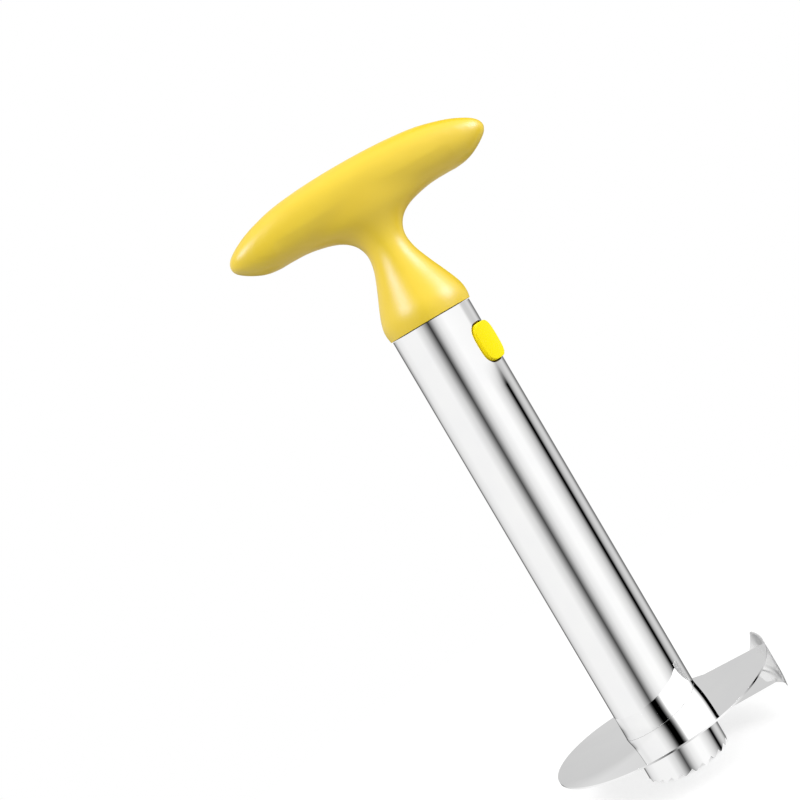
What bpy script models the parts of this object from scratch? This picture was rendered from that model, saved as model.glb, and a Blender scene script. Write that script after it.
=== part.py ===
"""Pineapple slicer: a T-handled coring tube with a one-turn spiral blade.

The tube's axis is Z. The origin is on that axis at the tips of the saw teeth, and the
handle is at the top. Azimuths are measured from +X, counter-clockwise seen from above.
"""
import bpy
import bmesh
import math
import numpy as np
from mathutils import Matrix, Vector

MM = 0.001

# Clearances
TOUCH_GAP = 0.3 * MM          # left between pieces that touch or slide
CUT_OVERRUN = 1.0 * MM        # how far a cutter runs past the faces it cuts

# Coring tube
TUBE_RADIUS = 15.0 * MM
TUBE_WALL = 0.8 * MM
TUBE_LENGTH = 174.0 * MM
TOOTH_COUNT = 24
TOOTH_HEIGHT = 1.3 * MM
TOOTH_LAND = 0.5 * MM         # flat left at each tip
TOOTH_RAKE_SHARE = 0.80       # where the gullet lies between one tip and the next

# Spiral blade
BLADE_RADIUS = 42.3 * MM
BLADE_SHEET = 0.6 * MM
BLADE_PITCH = 14.9 * MM
BLADE_LEAD_HEIGHT = 8.3 * MM  # top of the sheet at its leading edge
BLADE_LEAD_AZIMUTH = -0.5
BLADE_TURN = 353.9            # degrees from the leading to the trailing edge
BLADE_STEPS = 108
BLADE_RINGS = 4
GRIND_WIDTH = 2.2 * MM        # ground face along the leading edge
GRIND_EDGE = 0.25 * MM        # sheet left at the sharp edge

# Side cutter, bent up from the rim of the leading end
EAR_TIP_SWEEP = 14.5          # degrees that its toe runs ahead of the leading edge
EAR_TOP_SWEEP = 4.0           # the same at its top, just clear of the trailing end
EAR_HEEL_SWEEP = 34.5         # degrees that its base runs back along the rim
EAR_TOP_BACK_SWEEP = 13.5     # the same at its top
EAR_RISE = 16.5 * MM          # from the sheet's underside to its top
EAR_TOE_LIFT = 0.9 * MM       # how far the toe's point lies above the leading edge's underside
EAR_COLUMNS = 14
EAR_ROWS = 5

# Weld bead under the blade
BEAD_RADIUS = 0.7 * MM
BEAD_STEPS = 60
BEAD_SETBACK = 4.0            # degrees that it stops short of either end

# Handle grip
GRIP_BASE_RADIUS = 15.3 * MM
NECK_RISE = 40.6 * MM         # from the tube's rim to the underside of the bar
NECK_DEPTH = 9.4 * MM         # half thickness front to back at the waist
BAR_LENGTH = 99.4 * MM
GRIP_TURN = 8.0               # degrees that the bar is turned from +X
BAR_HEIGHT = 20.9 * MM
BAR_DEPTH = 23.0 * MM
SECTION_POINTS = 28
SECTION_POWER = 2.35          # roundness of the bar's sections, 2 is an ellipse
# Height, half width and half depth, as shares of the neck's rise, base radius and neck depth
NECK_SECTION_SHARES = (
    (0.000, 0.985, 1.603), (0.012, 1.000, 1.628), (0.110, 1.018, 1.660), (0.265, 0.890, 1.420),
    (0.434, 0.718, 1.160), (0.584, 0.545, 1.020), (0.683, 0.492, 0.995), (0.735, 0.494, 1.000),
    (0.805, 0.556, 1.010), (0.870, 0.680, 1.040), (0.922, 0.880, 1.080), (0.962, 1.180, 1.060),
    (1.000, 1.640, 0.960), (1.080, 1.700, 0.900), (1.200, 1.500, 0.700))
# Place along the half bar, top and bottom as shares of its height, half depth as a share
BAR_SECTION_SHARES = (
    (0.000, 1.000, 0.020, 1.000), (0.180, 0.993, 0.010, 0.995), (0.380, 0.965, 0.000, 0.970),
    (0.560, 0.915, 0.000, 0.920), (0.700, 0.835, 0.012, 0.860), (0.800, 0.758, 0.055, 0.800),
    (0.880, 0.670, 0.130, 0.710), (0.935, 0.595, 0.200, 0.600), (0.972, 0.525, 0.265, 0.450),
    (0.992, 0.460, 0.320, 0.280), (1.000, 0.425, 0.360, 0.120))
LOFT_REFINE = 2               # rings made from each pair of sections

# Plug that goes into the tube
PLUG_LENGTH = 27.0 * MM
PLUG_ROOF = 6.0 * MM          # solid above the button chamber
PLUG_WALL = 1.7 * MM
KEY_RADIUS = 10.0 * MM        # six-sided key that goes up into the grip
KEY_LENGTH = 11.0 * MM
KEY_SIDES = 6
ROUND_SIDES = 72

# Plug cap
CAP_PLATE = 2.0 * MM
CAP_SPIGOT = 2.0 * MM

# Release buttons
BUTTON_HEIGHT_DOWN = 15.7 * MM  # from the tube's rim to the button's centre
BUTTON_AXIS_AZIMUTH = -36.8   # the line that both buttons slide along
BUTTON_AXIS_ASIDE = 1.4 * MM  # how far that line passes from the tube's axis
BUTTON_WIDTH = 12.2 * MM
BUTTON_LENGTH = 14.1 * MM
BUTTON_PROUD = 1.4 * MM
BUTTON_CURVE = 24.0 * MM      # radius of the face, across the button
BUTTON_POWER = 3.2            # squareness of its outline, 2 is an ellipse
WINDOW_END_GAP = 0.5 * MM     # left above and below the button
BUTTON_TRAVEL = 2.8 * MM
FLANGE_LIP = 1.3 * MM         # how far the flange is wider than the button, each side
FLANGE_LIP_END = 1.3 * MM     # the same above and below
FLANGE_BACK = 7.6 * MM        # from the middle to the flange's inner face
SPIGOT_RADIUS = 2.2 * MM
SPIGOT_STOP = 1.4 * MM        # from the middle to the spigot's end, when the button is in
OUTLINE_POINTS = 40

# Button spring
SPRING_RADIUS = 3.3 * MM      # to the middle of the wire
SPRING_WIRE = 0.7 * MM
SPRING_TURNS = 6
SPRING_TURN_POINTS = 10

# Screw that holds the plug to the grip
SCREW_RADIUS = 2.0 * MM
SCREW_HEAD_RADIUS = 3.6 * MM
SCREW_HEAD_HEIGHT = 2.4 * MM
SCREW_BITE = 20.0 * MM        # length of the shank above the plug's roof
SCREW_SOCKET_RADIUS = 1.5 * MM
SCREW_SOCKET_DEPTH = 1.4 * MM
SCREW_SIDES = 24

# Colours, linear, with roughness and metallic value
GRIP_YELLOW = (0.88, 0.64, 0.07, 1.0)
BUTTON_YELLOW = (1.0, 0.80, 0.01, 1.0)
STEEL = (0.80, 0.80, 0.79, 1.0)
SPRING_STEEL = (0.55, 0.55, 0.56, 1.0)

# Places worked out from the sizes above
TUBE_BORE = TUBE_RADIUS - TUBE_WALL
GRIP_BASE = TUBE_LENGTH + TOUCH_GAP
PLUG_RADIUS = TUBE_BORE - TOUCH_GAP
PLUG_TOP = TUBE_LENGTH
PLUG_BOTTOM = PLUG_TOP - PLUG_LENGTH
CHAMBER_RADIUS = PLUG_RADIUS - PLUG_WALL
CHAMBER_TOP = PLUG_TOP - PLUG_ROOF
BUTTON_LEVEL = TUBE_LENGTH - BUTTON_HEIGHT_DOWN
SHEET_INNER = TUBE_RADIUS + TOUCH_GAP
RISE_PER_DEGREE = BLADE_PITCH / 360.0


def clear_scene():
    for item in list(bpy.data.objects):
        bpy.data.objects.remove(item, do_unlink=True)


def new_collection(name):
    group = bpy.data.collections.new(name)
    bpy.context.scene.collection.children.link(group)
    return group


def make_material(name, colour, roughness, metallic):
    material = bpy.data.materials.new(name)
    material.use_nodes = True
    shader = material.node_tree.nodes["Principled BSDF"]
    shader.inputs["Base Color"].default_value = colour
    shader.inputs["Roughness"].default_value = roughness
    shader.inputs["Metallic"].default_value = metallic
    material.diffuse_color = colour
    return material


def add_object(name, mesh, group):
    item = bpy.data.objects.new(name, mesh)
    group.objects.link(item)
    return item


def mesh_from(bm, name):
    bmesh.ops.recalc_face_normals(bm, faces=bm.faces)
    mesh = bpy.data.meshes.new(name)
    bm.to_mesh(mesh)
    bm.free()
    return mesh


def cylinder(name, group, radius, bottom, top, sides=ROUND_SIDES):
    """A closed cylinder about Z."""
    bm = bmesh.new()
    bmesh.ops.create_cone(bm, cap_ends=True, segments=sides, radius1=radius, radius2=radius,
                          depth=top - bottom)
    bmesh.ops.translate(bm, verts=bm.verts, vec=(0, 0, (top + bottom) / 2))
    return add_object(name, mesh_from(bm, name), group)


def flat_outline(name, group, points, depth):
    """A closed outline in XY, extruded by depth to both sides of Z zero in all."""
    curve = bpy.data.curves.new(name, "CURVE")
    curve.dimensions = "2D"
    curve.fill_mode = "BOTH"
    curve.extrude = depth / 2
    spline = curve.splines.new("POLY")
    spline.points.add(len(points) - 1)
    for place, (x, y) in zip(spline.points, points):
        place.co = (x, y, 0, 1)
    spline.use_cyclic_u = True
    return curve_to_mesh(add_object(name, curve, group), group)


def prism(name, group, points, start, end):
    """A closed outline in XY, extruded from one height to another."""
    item = flat_outline(name, group, points, end - start)
    item.data.transform(Matrix.Translation((0, 0, (start + end) / 2)))
    return item


def curve_to_mesh(item, group):
    """Replace a curve object by a closed mesh object of the same name."""
    name = item.name
    bpy.context.view_layer.update()
    evaluated = item.evaluated_get(bpy.context.evaluated_depsgraph_get())
    mesh = bpy.data.meshes.new_from_object(evaluated)
    place = item.matrix_world.copy()
    bpy.data.objects.remove(item, do_unlink=True)
    bm = bmesh.new()
    bm.from_mesh(mesh)
    bmesh.ops.remove_doubles(bm, verts=bm.verts, dist=TOUCH_GAP / 100)
    bmesh.ops.recalc_face_normals(bm, faces=bm.faces)
    bm.to_mesh(mesh)
    bm.free()
    made = add_object(name, mesh, group)
    made.matrix_world = place
    return made


def combine(item, tool, operation):
    """Add a Boolean that keeps Blender's exact solver."""
    change = item.modifiers.new(operation.title(), "BOOLEAN")
    change.operation = operation
    change.object = tool
    change.solver = "EXACT"


def apply_modifiers(item):
    bpy.context.view_layer.update()
    evaluated = item.evaluated_get(bpy.context.evaluated_depsgraph_get())
    mesh = bpy.data.meshes.new_from_object(evaluated)
    item.modifiers.clear()
    item.data = mesh


def hide_cutter(item):
    item.hide_render = True
    item.display_type = "WIRE"


def finish(item, material, smooth_angle=35.0):
    item.data.materials.clear()
    item.data.materials.append(material)
    item.data.shade_smooth()
    item.data.set_sharp_from_angle(angle=math.radians(smooth_angle))


def button_outline(width, length):
    """Oval outline with full corners, its length along Y."""
    points = []
    for step in range(OUTLINE_POINTS):
        c, s = rounded(2 * math.pi * step / OUTLINE_POINTS, BUTTON_POWER)
        points.append((c * width / 2, s * length / 2))
    return points


def smooth_rows(rows, refine):
    """Rows of shares with rings put between them on a smooth curve."""
    table = np.array(rows)
    count = len(table)
    slopes = np.gradient(table, axis=0)
    made = []
    for index in range(count - 1):
        for step in range(refine):
            t = step / refine
            a, b = table[index], table[index + 1]
            h1 = 2 * t ** 3 - 3 * t ** 2 + 1
            h2 = t ** 3 - 2 * t ** 2 + t
            h3 = 3 * t ** 2 - 2 * t ** 3
            h4 = t ** 3 - t ** 2
            made.append(h1 * a + h2 * slopes[index] + h3 * b + h4 * slopes[index + 1])
    made.append(table[-1])
    return made


def rounded(angle, power):
    """A point on a unit superellipse."""
    c, s = math.cos(angle), math.sin(angle)
    return (math.copysign(abs(c) ** (2 / power), c), math.copysign(abs(s) ** (2 / power), s))


def loft(rings, name):
    """A closed skin over rings of points that differ in shape."""
    bm = bmesh.new()
    rows = [[bm.verts.new(point) for point in ring] for ring in rings]
    count = len(rows[0])
    for low, high in zip(rows, rows[1:]):
        for k in range(count):
            following = (k + 1) % count
            bm.faces.new((low[k], low[following], high[following], high[k]))
    bm.faces.new(rows[0])
    bm.faces.new(rows[-1])
    return mesh_from(bm, name)


def neck_mesh():
    rings = []
    for height, wide, deep in smooth_rows(NECK_SECTION_SHARES, LOFT_REFINE):
        ring = []
        for k in range(SECTION_POINTS):
            c, s = rounded(2 * math.pi * k / SECTION_POINTS, 2.0)
            ring.append((wide * GRIP_BASE_RADIUS * c, deep * NECK_DEPTH * s,
                         GRIP_BASE + height * NECK_RISE))
        rings.append(ring)
    return loft(rings, "neck")


def bar_mesh():
    base = GRIP_BASE + NECK_RISE - TOUCH_GAP
    half = smooth_rows(BAR_SECTION_SHARES, LOFT_REFINE)
    rings = []
    for side, rows in ((-1, half[::-1]), (1, half[1:])):
        for along, high, low, deep in rows:
            middle = base + BAR_HEIGHT * (high + low) / 2
            tall = BAR_HEIGHT * (high - low) / 2
            ring = []
            for k in range(SECTION_POINTS):
                c, s = rounded(2 * math.pi * k / SECTION_POINTS, SECTION_POWER)
                ring.append((side * along * BAR_LENGTH / 2, deep * BAR_DEPTH / 2 * c,
                             middle + tall * s))
            rings.append(ring)
    return loft(rings, "bar")


def build_grip(parts, cutters, material):
    grip = add_object("handle_grip", neck_mesh(), parts)
    bar = add_object("bar_form", bar_mesh(), cutters)
    key = cylinder("grip_key_hole", cutters, KEY_RADIUS + TOUCH_GAP, GRIP_BASE - CUT_OVERRUN,
                   PLUG_TOP + KEY_LENGTH + TOUCH_GAP, KEY_SIDES)
    pilot = cylinder("grip_screw_hole", cutters, SCREW_RADIUS + TOUCH_GAP, GRIP_BASE,
                     CHAMBER_TOP + TOUCH_GAP + SCREW_BITE + CUT_OVERRUN, SCREW_SIDES)
    combine(grip, bar, "UNION")
    combine(grip, key, "DIFFERENCE")
    combine(grip, pilot, "DIFFERENCE")
    for item in (bar, key, pilot):
        hide_cutter(item)
    for item in (grip, bar):
        item.rotation_euler = (0, 0, math.radians(GRIP_TURN))
    finish(grip, material)


def place_on_button_axis(item, axis_empty, turn=0.0):
    """Turn an outline drawn in XY so that its length is along Z and its depth along the axis."""
    stand = Matrix.Rotation(math.radians(90), 4, "X")
    face_out = Matrix.Rotation(math.radians(90), 4, "Z")
    item.data.transform(face_out @ stand)
    item.parent = axis_empty
    item.rotation_euler = (0, 0, math.radians(turn))


def window_cutter(name, cutters, axis_empty):
    """A bar through both button windows, a little wider and longer than the buttons."""
    outline = button_outline(BUTTON_WIDTH + 2 * TOUCH_GAP, BUTTON_LENGTH + 2 * WINDOW_END_GAP)
    item = flat_outline(name, cutters, outline, 2 * (TUBE_RADIUS + CUT_OVERRUN))
    place_on_button_axis(item, axis_empty)
    hide_cutter(item)
    return item


def build_tube(parts, cutters, axis_empty, material):
    """A rolled sheet: its lower rim is cut into saw teeth, then it is given its wall."""
    pitch = 2 * math.pi / TOOTH_COUNT
    land = TOOTH_LAND / TUBE_RADIUS
    bm = bmesh.new()
    low, high = [], []
    for tooth in range(TOOTH_COUNT):
        for angle, height in ((0, 0), (land, 0),
                              (land + (pitch - land) * TOOTH_RAKE_SHARE, TOOTH_HEIGHT)):
            turn = tooth * pitch + angle
            x, y = TUBE_RADIUS * math.cos(turn), TUBE_RADIUS * math.sin(turn)
            low.append(bm.verts.new((x, y, height)))
            high.append(bm.verts.new((x, y, TUBE_LENGTH)))
    count = len(low)
    for k in range(count):
        following = (k + 1) % count
        bm.faces.new((low[k], low[following], high[following], high[k]))
    mesh = bpy.data.meshes.new("corer_tube")
    bm.to_mesh(mesh)
    bm.free()
    tube = add_object("corer_tube", mesh, parts)
    wall = tube.modifiers.new("Wall", "SOLIDIFY")
    wall.thickness = TUBE_WALL
    wall.offset = -1
    combine(tube, window_cutter("tube_windows", cutters, axis_empty), "DIFFERENCE")
    finish(tube, material)


def sheet_height(azimuth):
    """Top of the blade's sheet at an azimuth counted back through its whole turn."""
    return BLADE_LEAD_HEIGHT + (azimuth - BLADE_LEAD_AZIMUTH + 360.0) * RISE_PER_DEGREE


def sheet_surface():
    """The blade's middle surface: a radius screwed once round the tube."""
    bm = bmesh.new()
    verts = []
    for ring in range(BLADE_RINGS + 1):
        radius = SHEET_INNER + (BLADE_RADIUS - SHEET_INNER) * ring / BLADE_RINGS
        verts.append(bm.verts.new((radius, 0, 0)))
    for a, b in zip(verts, verts[1:]):
        bm.edges.new((a, b))
    mesh = bpy.data.meshes.new("blade_line")
    bm.to_mesh(mesh)
    bm.free()
    return mesh


def build_blade(parts, cutters, material):
    """One turn of sheet, ground thin along its leading edge, with the side cutter bent up."""
    blade = add_object("spiral_blade", sheet_surface(), parts)
    turn = blade.modifiers.new("Turn", "SCREW")
    turn.axis = "Z"
    turn.angle = math.radians(BLADE_TURN)
    turn.screw_offset = BLADE_PITCH * BLADE_TURN / 360.0
    turn.steps = BLADE_STEPS
    turn.render_steps = BLADE_STEPS
    turn.merge_threshold = TOUCH_GAP / 100
    turn.use_normal_calculate = True
    apply_modifiers(blade)
    bm = bmesh.new()
    bm.from_mesh(blade.data)
    bmesh.ops.remove_doubles(bm, verts=bm.verts, dist=TOUCH_GAP / 100)
    made = bmesh.ops.duplicate(bm, geom=bm.verts[:] + bm.edges[:] + bm.faces[:])
    under = [piece for piece in made["geom"] if isinstance(piece, bmesh.types.BMVert)]
    for vert in under:
        vert.co.z -= sheet_depth(vert.co)
    rims = [edge for edge in bm.edges if edge.is_boundary]
    bmesh.ops.bridge_loops(bm, edges=rims)
    bmesh.ops.rotate(bm, verts=bm.verts, cent=(0, 0, 0),
                     matrix=Matrix.Rotation(math.radians(BLADE_LEAD_AZIMUTH), 3, "Z"))
    bmesh.ops.translate(bm, verts=bm.verts, vec=(0, 0, BLADE_LEAD_HEIGHT))
    bmesh.ops.triangulate(bm, faces=bm.faces)
    blade.data = mesh_from(bm, "spiral_blade")
    ear = add_object("side_cutter_form", side_cutter_mesh(), cutters)
    combine(blade, ear, "UNION")
    hide_cutter(ear)
    finish(blade, material)


def screw_angle(place):
    """How far round its turn, in degrees, a point of the raw screwed sheet lies."""
    return place.z / RISE_PER_DEGREE


def sheet_depth(place):
    """Thickness of the sheet at a point, which falls to the sharp edge along its start."""
    ahead = math.radians(screw_angle(place)) * math.hypot(place.x, place.y)
    ground = min(ahead / GRIND_WIDTH, 1.0)
    return GRIND_EDGE + (BLADE_SHEET - GRIND_EDGE) * ground


def side_cutter_base(azimuth):
    """Foot of the side cutter: under the sheet along the rim, then up to the point of its toe."""
    lead = BLADE_LEAD_AZIMUTH - 360.0
    ahead = max(lead - azimuth, 0.0) / EAR_TIP_SWEEP
    return sheet_height(max(azimuth, lead)) - BLADE_SHEET - GRIND_EDGE + ahead * EAR_TOE_LIFT


def side_cutter_mesh():
    """A curved plate on the rim, raked at its front and back, with a pointed toe."""
    base_start = BLADE_LEAD_AZIMUTH - 360.0 - EAR_TIP_SWEEP
    base_end = BLADE_LEAD_AZIMUTH - 360.0 + EAR_HEEL_SWEEP
    top_start = BLADE_LEAD_AZIMUTH - 360.0 - EAR_TOP_SWEEP
    top_end = BLADE_LEAD_AZIMUTH - 360.0 + EAR_TOP_BACK_SWEEP
    top_height = BLADE_LEAD_HEIGHT - BLADE_SHEET + EAR_RISE
    bm = bmesh.new()
    walls = []
    for radius in (BLADE_RADIUS, BLADE_RADIUS - BLADE_SHEET):
        grid = []
        for row in range(EAR_ROWS + 1):
            rise = row / EAR_ROWS
            line = []
            for column in range(EAR_COLUMNS + 1):
                across = column / EAR_COLUMNS
                low = base_start + (base_end - base_start) * across
                high = top_start + (top_end - top_start) * across
                azimuth = low + (high - low) * rise
                bottom = side_cutter_base(low)
                height = bottom + (top_height - bottom) * rise
                turn = math.radians(azimuth)
                line.append(bm.verts.new(
                    (radius * math.cos(turn), radius * math.sin(turn), height)))
            grid.append(line)
        walls.append(grid)
        for low_line, high_line in zip(grid, grid[1:]):
            for k in range(EAR_COLUMNS):
                bm.faces.new((low_line[k], low_line[k + 1], high_line[k + 1], high_line[k]))
    bmesh.ops.bridge_loops(bm, edges=[edge for edge in bm.edges if edge.is_boundary])
    return mesh_from(bm, "side_cutter_form")


def build_bead(parts, material):
    """The weld: a bead in the corner under the sheet, along the tube."""
    reach = TOUCH_GAP + BEAD_RADIUS
    start = BLADE_LEAD_AZIMUTH - 360.0 + BEAD_SETBACK
    end = start + BLADE_TURN - 2 * BEAD_SETBACK
    curve = bpy.data.curves.new("weld_bead", "CURVE")
    curve.dimensions = "3D"
    curve.bevel_depth = BEAD_RADIUS
    curve.bevel_resolution = 1
    curve.use_fill_caps = True
    spline = curve.splines.new("POLY")
    spline.points.add(BEAD_STEPS)
    for step, place in enumerate(spline.points):
        azimuth = start + (end - start) * step / BEAD_STEPS
        turn = math.radians(azimuth)
        radius = TUBE_RADIUS + reach
        level = sheet_height(azimuth) - BLADE_SHEET - reach
        place.co = (radius * math.cos(turn), radius * math.sin(turn), level, 1)
    bead = curve_to_mesh(add_object("weld_bead", curve, parts), parts)
    finish(bead, material, 60.0)


def build_plug(parts, cutters, axis_empty, material):
    plug = cylinder("handle_plug", parts, PLUG_RADIUS, PLUG_BOTTOM, PLUG_TOP)
    key = cylinder("plug_key", cutters, KEY_RADIUS, CHAMBER_TOP + CUT_OVERRUN,
                   PLUG_TOP + KEY_LENGTH, KEY_SIDES)
    chamber = cylinder("plug_chamber", cutters, CHAMBER_RADIUS, PLUG_BOTTOM - CUT_OVERRUN,
                       CHAMBER_TOP)
    bore = cylinder("plug_screw_hole", cutters, SCREW_RADIUS + TOUCH_GAP,
                    CHAMBER_TOP - CUT_OVERRUN, PLUG_TOP + KEY_LENGTH + CUT_OVERRUN, SCREW_SIDES)
    combine(plug, key, "UNION")
    combine(plug, chamber, "DIFFERENCE")
    combine(plug, bore, "DIFFERENCE")
    combine(plug, window_cutter("plug_windows", cutters, axis_empty), "DIFFERENCE")
    for item in (key, chamber, bore):
        hide_cutter(item)
    finish(plug, material)


def build_cap(parts, cutters, material):
    top = PLUG_BOTTOM - TOUCH_GAP
    cap = cylinder("plug_cap", parts, PLUG_RADIUS, top - CAP_PLATE, top)
    spigot = cylinder("cap_spigot", cutters, CHAMBER_RADIUS - TOUCH_GAP, top - CAP_PLATE / 2,
                      PLUG_BOTTOM + CAP_SPIGOT)
    combine(cap, spigot, "UNION")
    hide_cutter(spigot)
    finish(cap, material)


def build_screw(parts, cutters, material):
    head_top = CHAMBER_TOP - TOUCH_GAP
    screw = cylinder("plug_screw", parts, SCREW_HEAD_RADIUS, head_top - SCREW_HEAD_HEIGHT,
                     head_top, SCREW_SIDES)
    shank = cylinder("screw_shank", cutters, SCREW_RADIUS, head_top - SCREW_HEAD_HEIGHT / 2,
                     CHAMBER_TOP + SCREW_BITE, SCREW_SIDES)
    socket = cylinder("screw_socket", cutters, SCREW_SOCKET_RADIUS,
                      head_top - SCREW_HEAD_HEIGHT - CUT_OVERRUN,
                      head_top - SCREW_HEAD_HEIGHT + SCREW_SOCKET_DEPTH, KEY_SIDES)
    combine(screw, shank, "UNION")
    combine(screw, socket, "DIFFERENCE")
    for item in (shank, socket):
        hide_cutter(item)
    finish(screw, material)


def build_button(name, parts, cutters, axis_empty, turn, material):
    """An oval stem with a gently curved face, on a flange held in the chamber."""
    face = TUBE_RADIUS + BUTTON_PROUD
    flange_face = CHAMBER_RADIUS - TOUCH_GAP
    button = prism(name, parts, button_outline(BUTTON_WIDTH, BUTTON_LENGTH),
                   FLANGE_BACK + CUT_OVERRUN, face)
    lip = prism(name + "_lip", cutters,
                button_outline(BUTTON_WIDTH + 2 * FLANGE_LIP, BUTTON_LENGTH + 2 * FLANGE_LIP_END),
                FLANGE_BACK, flange_face)
    trim = cylinder(name + "_face", cutters, BUTTON_CURVE, -BUTTON_LENGTH, BUTTON_LENGTH)
    lip_trim = cylinder(name + "_lip_face", cutters, flange_face, -BUTTON_LENGTH, BUTTON_LENGTH)
    place_on_button_axis(button, axis_empty, turn)
    place_on_button_axis(lip, axis_empty, turn)
    for item in (trim, lip_trim):
        item.parent = axis_empty
    trim.location = ((face - BUTTON_CURVE) * math.cos(math.radians(turn)), 0, 0)
    lip_trim.location = (0, -BUTTON_AXIS_ASIDE, 0)
    spigot = cylinder(name + "_spigot", cutters, SPIGOT_RADIUS, SPIGOT_STOP + BUTTON_TRAVEL,
                      FLANGE_BACK + SPIGOT_RADIUS, SCREW_SIDES)
    spigot.data.transform(Matrix.Rotation(math.radians(90), 4, "Y"))
    spigot.parent = axis_empty
    spigot.rotation_euler = (0, 0, math.radians(turn))
    combine(lip, lip_trim, "INTERSECT")
    combine(button, trim, "INTERSECT")
    combine(button, lip, "UNION")
    combine(button, spigot, "UNION")
    for item in (trim, lip, lip_trim, spigot):
        hide_cutter(item)
    finish(button, material)


def build_spring(parts, axis_empty, material):
    """One unbroken coil between the two flanges, round both spigots."""
    half = FLANGE_BACK - TOUCH_GAP - SPRING_WIRE / 2
    count = SPRING_TURNS * SPRING_TURN_POINTS
    curve = bpy.data.curves.new("button_spring", "CURVE")
    curve.dimensions = "3D"
    curve.bevel_depth = SPRING_WIRE / 2
    curve.bevel_resolution = 1
    curve.use_fill_caps = True
    spline = curve.splines.new("POLY")
    spline.points.add(count)
    points = []
    for step, place in enumerate(spline.points):
        turn = 2 * math.pi * step / SPRING_TURN_POINTS
        point = Vector((-half + 2 * half * step / count,
                        SPRING_RADIUS * math.cos(turn), SPRING_RADIUS * math.sin(turn)))
        points.append(point)
        place.co = (*point, 1)
    item = add_object("button_spring", curve, parts)
    item.parent = axis_empty
    spring = curve_to_mesh(item, parts)
    gap = min((points[a] - points[b]).length for a in range(count + 1)
              for b in range(a + SPRING_TURN_POINTS - 2, count + 1)) - SPRING_WIRE
    print("button_spring least gap between turns, mm:", round(gap / MM, 2))
    finish(spring, material, 60.0)


def main():
    clear_scene()
    parts = new_collection("pineapple_slicer")
    cutters = new_collection("cutters")
    grip_plastic = make_material("grip_plastic", GRIP_YELLOW, 0.45, 0.0)
    button_plastic = make_material("button_plastic", BUTTON_YELLOW, 0.35, 0.0)
    polished_steel = make_material("polished_steel", STEEL, 0.08, 1.0)
    spring_wire = make_material("spring_wire", SPRING_STEEL, 0.30, 1.0)
    axis_empty = bpy.data.objects.new("button_axis", None)
    parts.objects.link(axis_empty)
    line = math.radians(BUTTON_AXIS_AZIMUTH)
    axis_empty.location = (-BUTTON_AXIS_ASIDE * math.sin(line), BUTTON_AXIS_ASIDE * math.cos(line),
                           BUTTON_LEVEL)
    axis_empty.rotation_euler = (0, 0, line)
    build_tube(parts, cutters, axis_empty, polished_steel)
    build_blade(parts, cutters, polished_steel)
    build_bead(parts, polished_steel)
    build_grip(parts, cutters, grip_plastic)
    build_plug(parts, cutters, axis_empty, grip_plastic)
    build_cap(parts, cutters, grip_plastic)
    build_screw(parts, cutters, spring_wire)
    build_button("button_right", parts, cutters, axis_empty, 0.0, button_plastic)
    build_button("button_left", parts, cutters, axis_empty, 180.0, button_plastic)
    build_spring(parts, axis_empty, spring_wire)


main()
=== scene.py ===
import bpy
import bmesh
import math
from mathutils import Matrix, Vector


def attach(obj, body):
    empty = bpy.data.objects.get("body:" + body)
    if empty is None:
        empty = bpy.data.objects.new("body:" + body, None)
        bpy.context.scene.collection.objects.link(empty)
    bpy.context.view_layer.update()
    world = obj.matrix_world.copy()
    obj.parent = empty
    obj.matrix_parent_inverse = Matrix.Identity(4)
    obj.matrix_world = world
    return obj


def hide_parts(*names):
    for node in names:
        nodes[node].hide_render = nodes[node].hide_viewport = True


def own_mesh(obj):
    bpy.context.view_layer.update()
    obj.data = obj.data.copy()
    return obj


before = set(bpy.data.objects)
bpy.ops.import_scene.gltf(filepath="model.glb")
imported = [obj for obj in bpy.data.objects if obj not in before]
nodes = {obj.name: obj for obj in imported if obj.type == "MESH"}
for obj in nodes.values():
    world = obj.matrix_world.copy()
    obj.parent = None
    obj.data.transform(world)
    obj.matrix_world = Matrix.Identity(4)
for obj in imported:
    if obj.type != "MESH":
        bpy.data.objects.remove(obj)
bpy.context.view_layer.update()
scene = bpy.context.scene
scene.view_settings.view_transform = "Standard"
mm = 0.001
hair = 0.001 * mm  # nearer than this counts as touching

print("camera")
cameraSettings = {
    "eye": (0.0, -0.4715, 0.1681),
    "target": (-0.0228, 0.0, 0.1561),
    "roll": -30.55,
    "lens": 62.2,
    "sensor": 36,
    "clip": 0.01,
}
cameraData = bpy.data.cameras.new("photoCamera")
cameraData.lens = cameraSettings["lens"]
cameraData.sensor_width = cameraSettings["sensor"]
cameraData.clip_start = cameraSettings["clip"]
camera = bpy.data.objects.new("photoCamera", cameraData)
scene.collection.objects.link(camera)
eye = Vector(cameraSettings["eye"])
aim = (Vector(cameraSettings["target"]) - eye).to_track_quat("-Z", "Y")
camera.matrix_world = (Matrix.Translation(eye) @ aim.to_matrix().to_4x4()
                       @ Matrix.Rotation(math.radians(cameraSettings["roll"]), 4, "Z"))
scene.camera = camera


# small helpers

def newPiece(name, bm, material, body=None, replaces=()):
    mesh = bpy.data.meshes.new(name)
    bm.to_mesh(mesh)
    bm.free()
    mesh.shade_smooth()
    piece = bpy.data.objects.new(name, mesh)
    scene.collection.objects.link(piece)
    piece.data.materials.append(material)
    if body:
        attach(piece, body)
    if replaces:
        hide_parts(*replaces)
    return piece


def bakeModifiers(piece):
    # keeps the shaped mesh and drops the modifiers
    graph = bpy.context.evaluated_depsgraph_get()
    shaped = bpy.data.meshes.new_from_object(piece.evaluated_get(graph))
    piece.modifiers.clear()
    piece.data = shaped


def addBevel(piece, width, angle, segments):
    bevel = piece.modifiers.new("edgeBevel", "BEVEL")
    bevel.width = width
    bevel.segments = segments
    bevel.limit_method = "ANGLE"
    bevel.angle_limit = math.radians(angle)
    bevel.harden_normals = True


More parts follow.
